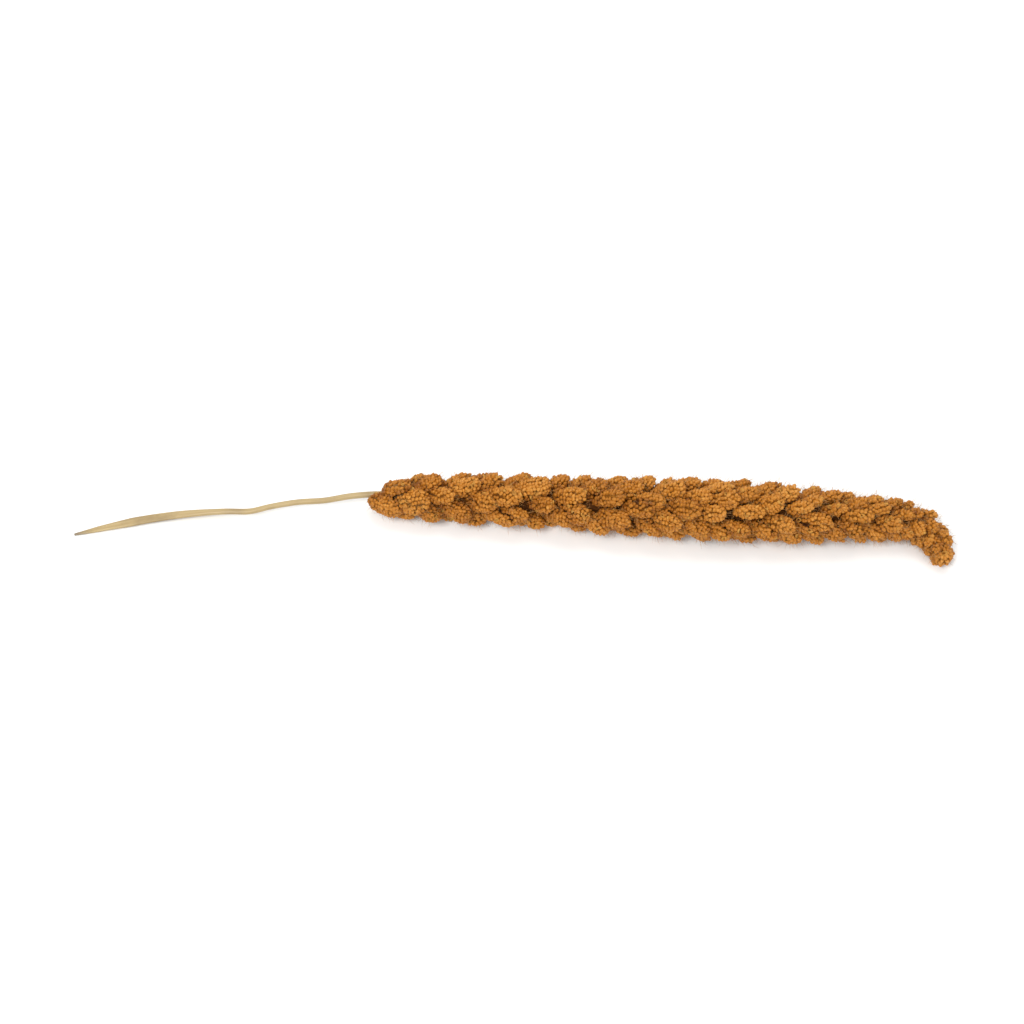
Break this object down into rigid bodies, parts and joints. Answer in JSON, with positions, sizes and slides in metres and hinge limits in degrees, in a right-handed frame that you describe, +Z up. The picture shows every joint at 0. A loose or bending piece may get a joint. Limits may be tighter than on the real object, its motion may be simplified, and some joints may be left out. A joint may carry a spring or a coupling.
{
  "type": "millet seed head",
  "caption": "Dried foxtail millet head with its stalk, lying on its side: crowded lobes of small grains round a thin stem, the tip hooked over.",
  "frame": {"origin": "on the surface that the head lies on, under the middle of the whole", "axes": "+X along the head towards its hooked tip, +Y away from the side that the tip hooks to, +Z up"},
  "size_m": [0.3064, 0.0338, 0.0219],
  "materials": {
    "grains": "dry matt orange-brown grains",
    "straw": "pale satin straw"
  },
  "bodies": {
    "root": {"seed_head": "grains", "stalk": "straw"}
  },
  "joints": []
}
